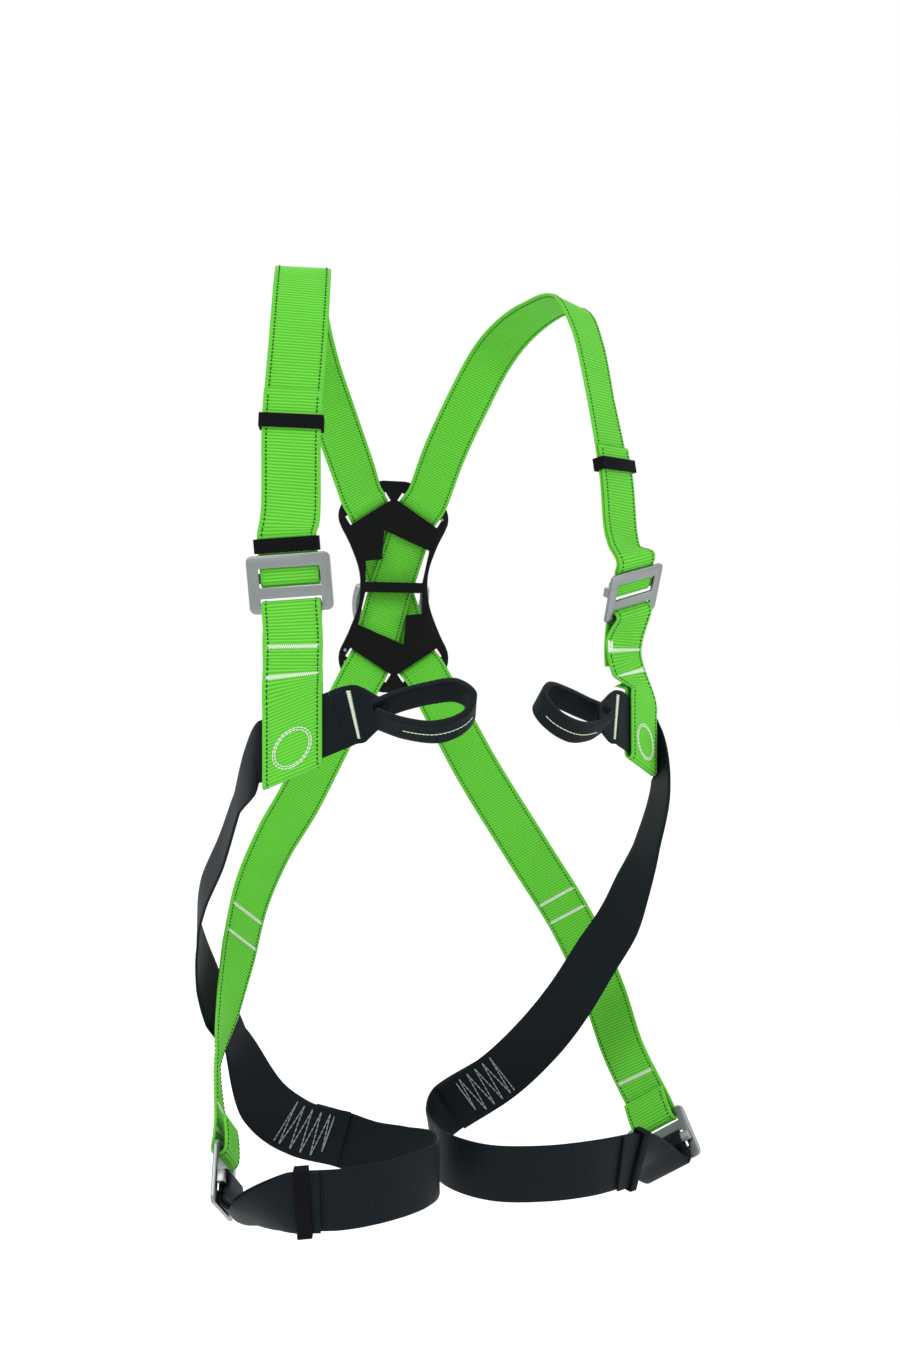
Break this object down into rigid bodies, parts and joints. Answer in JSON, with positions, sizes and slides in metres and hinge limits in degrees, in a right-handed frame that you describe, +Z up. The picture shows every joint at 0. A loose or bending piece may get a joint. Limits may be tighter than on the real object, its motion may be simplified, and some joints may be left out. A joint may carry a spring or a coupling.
{
  "type": "full body fall arrest harness",
  "caption": "Full-body fall-arrest harness of green and black webbing with a dorsal plate and D-ring, front textile loops and steel adjusters, in its worn shape.",
  "frame": {"origin": "body side of the dorsal plate, middle of its centre bar", "axes": "+X towards the wearer's left, +Y behind the wearer, +Z up"},
  "size_m": [0.4321, 0.3805, 0.7968],
  "materials": {
    "green_webbing": "polyester webbing with fine cross ribs",
    "black_webbing": "polyester webbing with fine cross ribs and a faint blue sheen",
    "steel": "satin zinc-plated",
    "plate_plastic": "satin moulded",
    "elastic": "woven elastic"
  },
  "bodies": {
    "harness": {"dorsal_plate": "plate_plastic", "right_shoulder_strap": "green_webbing", "left_shoulder_strap": "green_webbing", "right_strap_tail": "green_webbing", "left_strap_tail": "green_webbing", "right_lower_chest_strap": "green_webbing", "left_lower_chest_strap": "green_webbing", "right_hip_strap": "green_webbing", "left_hip_strap": "green_webbing", "right_pelvic_strap": "black_webbing", "left_pelvic_strap": "black_webbing", "right_leg_band": "black_webbing", "left_leg_band": "black_webbing", "right_leg_strap_tail": "black_webbing", "left_leg_strap_tail": "black_webbing"},
    "dorsal_ring": {"dorsal_ring": "steel"},
    "right_chest_adjuster": {"right_chest_frame": "steel"},
    "right_chest_slider": {"right_chest_sliding_bar": "steel", "right_chest_bar_wrap": "green_webbing"},
    "left_chest_adjuster": {"left_chest_frame": "steel"},
    "left_chest_slider": {"left_chest_sliding_bar": "steel", "left_chest_bar_wrap": "green_webbing"},
    "right_leg_adjuster": {"right_leg_frame": "steel"},
    "right_leg_slider": {"right_leg_sliding_bar": "steel", "right_leg_bar_wrap": "black_webbing"},
    "left_leg_adjuster": {"left_leg_frame": "steel"},
    "left_leg_slider": {"left_leg_sliding_bar": "steel", "left_leg_bar_wrap": "black_webbing"},
    "right_chest_upper_keeper": {"right_chest_upper_keeper": "elastic"},
    "right_chest_lower_keeper": {"right_chest_lower_keeper": "elastic"},
    "left_chest_keeper": {"left_chest_keeper": "elastic"},
    "right_leg_keeper": {"right_leg_keeper": "elastic"},
    "left_leg_keeper": {"left_leg_keeper": "elastic"},
    "right_front_loop": {"right_front_loop": "black_webbing"},
    "left_front_loop": {"left_front_loop": "black_webbing"}
  },
  "joints": [
    {"name": "dorsal_ring_swing", "type": "hinge", "parent": "harness", "child": "dorsal_ring", "pos_m": [0, 0.0094, 0], "axis": [1, 0, 0], "range_deg": [0, 108]},
    {"name": "right_chest_adjuster_tilt", "type": "hinge", "parent": "harness", "child": "right_chest_adjuster", "pos_m": [-0.13283, -0.2505, -0.03866], "axis": [0.9659, -0.2489, 0.0717], "range_deg": [0, 60]},
    {"name": "right_chest_bar_slide", "type": "slide", "parent": "right_chest_adjuster", "child": "right_chest_slider", "axis": [0.0942, 0.0798, -0.9923], "range_m": [0, 0.004]},
    {"name": "left_chest_adjuster_tilt", "type": "hinge", "parent": "harness", "child": "left_chest_adjuster", "pos_m": [0.16065, -0.21998, -0.03648], "axis": [0.8945, 0.3766, 0.241], "range_deg": [0, 40]},
    {"name": "left_chest_bar_slide", "type": "slide", "parent": "left_chest_adjuster", "child": "left_chest_slider", "axis": [0.0343, 0.4796, -0.8768], "range_m": [0, 0.004]},
    {"name": "right_leg_adjuster_tilt", "type": "hinge", "parent": "harness", "child": "right_leg_adjuster", "pos_m": [-0.18124, -0.22392, -0.4617], "axis": [0.2599, 0.7218, -0.6415], "range_deg": [0, 45]},
    {"name": "right_leg_bar_slide", "type": "slide", "parent": "right_leg_adjuster", "child": "right_leg_slider", "axis": [0.0935, 0.6424, 0.7607], "range_m": [0, 0.004]},
    {"name": "left_leg_adjuster_tilt", "type": "hinge", "parent": "harness", "child": "left_leg_adjuster", "pos_m": [0.2049, -0.17748, -0.49813], "axis": [0.5889, -0.5536, 0.5888], "range_deg": [0, 40]},
    {"name": "left_leg_bar_slide", "type": "slide", "parent": "left_leg_adjuster", "child": "left_leg_slider", "axis": [-0.1118, 0.6657, 0.7378], "range_m": [0, 0.004]},
    {"name": "right_chest_upper_keeper_slide", "type": "slide", "parent": "harness", "child": "right_chest_upper_keeper", "axis": [0.0546, 0.1094, 0.9925], "range_m": [-0.008, 0.008]},
    {"name": "right_chest_lower_keeper_slide", "type": "slide", "parent": "harness", "child": "right_chest_lower_keeper", "axis": [-0.0942, -0.0798, 0.9923], "range_m": [0, 0.0025]},
    {"name": "left_chest_keeper_slide", "type": "slide", "parent": "harness", "child": "left_chest_keeper", "axis": [-0.124, 0.0785, 0.9892], "range_m": [-0.006, 0.006]},
    {"name": "right_leg_keeper_slide", "type": "slide", "parent": "harness", "child": "right_leg_keeper", "axis": [0.9737, -0.2178, 0.0672], "range_m": [0, 0.005]},
    {"name": "left_leg_keeper_slide", "type": "slide", "parent": "harness", "child": "left_leg_keeper", "axis": [-0.7818, -0.5837, 0.2193], "range_m": [0, 0.0025]},
    {"name": "right_front_loop_swing", "type": "hinge", "parent": "harness", "child": "right_front_loop", "pos_m": [-0.09875, -0.26495, -0.1235], "axis": [-0.3631, 0.0898, 0.9274], "range_deg": [-20, 22]},
    {"name": "left_front_loop_swing", "type": "hinge", "parent": "harness", "child": "left_front_loop", "pos_m": [0.1442, -0.24185, -0.128], "axis": [0.2786, 0.2089, 0.9374], "range_deg": [-22, 20]}
  ]
}
